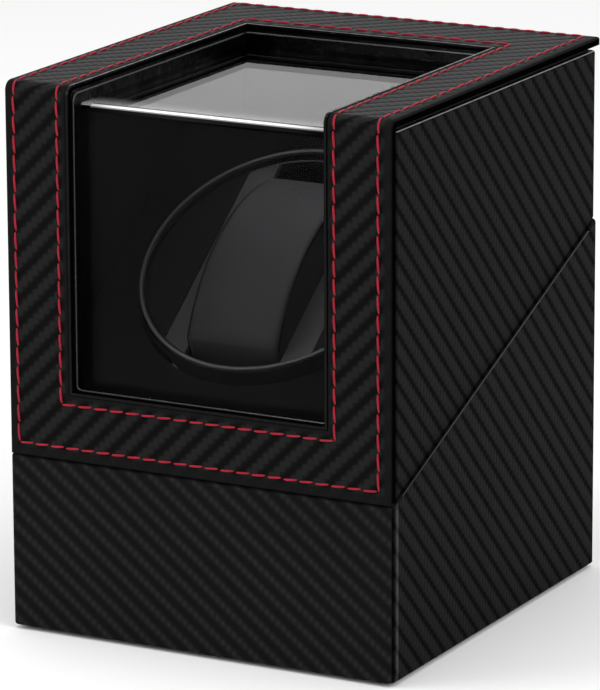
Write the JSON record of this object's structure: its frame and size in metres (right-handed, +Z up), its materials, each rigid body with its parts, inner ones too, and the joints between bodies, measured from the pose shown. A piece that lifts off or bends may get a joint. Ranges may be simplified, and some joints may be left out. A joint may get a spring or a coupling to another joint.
{
  "type": "watch winder box",
  "caption": "Hinged watch winder box with an L-shaped clear window over a tilted, belt-driven drum that holds a lift-out watch pillow.",
  "frame": {"origin": "bottom centre of the bounding box, on the surface that the rubber feet stand on", "axes": "+Z up, front face towards -Y, +X to the right as seen from the front"},
  "size_m": [0.126, 0.1403, 0.165],
  "materials": {
    "wrap": "black leatherette embossed with a diagonal twill",
    "board": "dyed fibreboard",
    "lining": "black lining cloth on board",
    "trim": "glossy black lining",
    "pane": "clear bent acrylic",
    "rim": "satin black moulding",
    "drum": "matte black moulding",
    "pillow": "dark grey satin cover",
    "rubber": "black rubber",
    "steel": "bright steel",
    "hinge": "black lacquered steel",
    "brass": "turned brass",
    "case": "black moulded plastic",
    "circuit": "green circuit board"
  },
  "bodies": {
    "base": {"base_left_board": "wrap", "base_right_board": "wrap", "base_front_board": "wrap", "base_back_board": "wrap", "bottom_panel": "board", "bottom_screws": "steel", "rubber_feet": "rubber", "cheek_left": "lining", "cheek_right": "lining", "front_riser": "lining", "rear_riser": "lining", "deck_panel": "lining", "chassis_rails": "board", "chassis_plate": "steel", "chassis_screws": "steel", "spindle_bush": "brass", "thrust_washer": "steel", "gearbox_case": "case", "motor_can": "steel", "motor_screws": "steel", "drive_belt": "rubber", "control_plate": "case", "control_plate_screws": "steel", "control_board": "circuit", "board_posts": "case", "board_parts": "case", "mode_switch_body": "case", "power_switch_body": "case", "power_socket": "case", "socket_collar": "case", "socket_pin": "steel", "hinge_base_leaves": "hinge", "hinge_base_screws": "hinge", "hinge_pins": "hinge"},
    "lid": {"lid_cover_frame": "wrap", "lid_backer_frame": "board", "lid_left_board": "wrap", "lid_right_board": "wrap", "lid_back_board": "wrap", "window_trim": "trim", "window_pane": "pane", "lid_lining_left": "lining", "lid_lining_right": "lining", "lid_lining_back": "lining", "hinge_lid_leaves": "hinge", "hinge_lid_screws": "hinge"},
    "drum": {"drum_rim": "rim", "drum_face": "drum", "drum_cup": "drum", "drum_back": "drum", "pillow_tray": "rim", "drum_pulley": "drum", "drum_screws": "steel", "spindle": "steel", "retaining_clip": "steel"},
    "pillow": {"watch_pillow": "pillow"},
    "rotor": {"motor_shaft": "steel", "motor_pulley": "brass"},
    "knob": {"mode_knob": "case"},
    "button": {"power_button": "case"}
  },
  "joints": [
    {"name": "lid_hinge", "type": "hinge", "parent": "base", "child": "lid", "pos_m": [0, 0.06815, 0.11096], "axis": [-1, 0, 0], "range_deg": [0, 95]},
    {"name": "drum_spin", "type": "hinge", "parent": "base", "child": "drum", "pos_m": [0, -0.02095, 0.1089], "axis": [0, -0.6018, 0.7986], "continuous": true},
    {"name": "rotor_spin", "type": "hinge", "parent": "base", "child": "rotor", "pos_m": [0.03, -0.02095, 0.1089], "axis": [0, -0.6018, 0.7986], "continuous": true},
    {"name": "pillow_lift", "type": "slide", "parent": "drum", "child": "pillow", "axis": [0, -0.6018, 0.7986], "range_m": [0, 0.016]},
    {"name": "mode_turn", "type": "hinge", "parent": "base", "child": "knob", "pos_m": [-0.028, 0.05885, 0.037], "axis": [0, 1, 0], "range_deg": [-135, 135]},
    {"name": "power_press", "type": "slide", "parent": "base", "child": "button", "axis": [0, -1, 0], "range_m": [0, 0.0015], "stiffness_N_per_m": 600, "springref_m": -0.0005}
  ],
  "couplings": [
    {"joint": "rotor_spin", "follows": "drum_spin", "ratio": 3.0339}
  ]
}
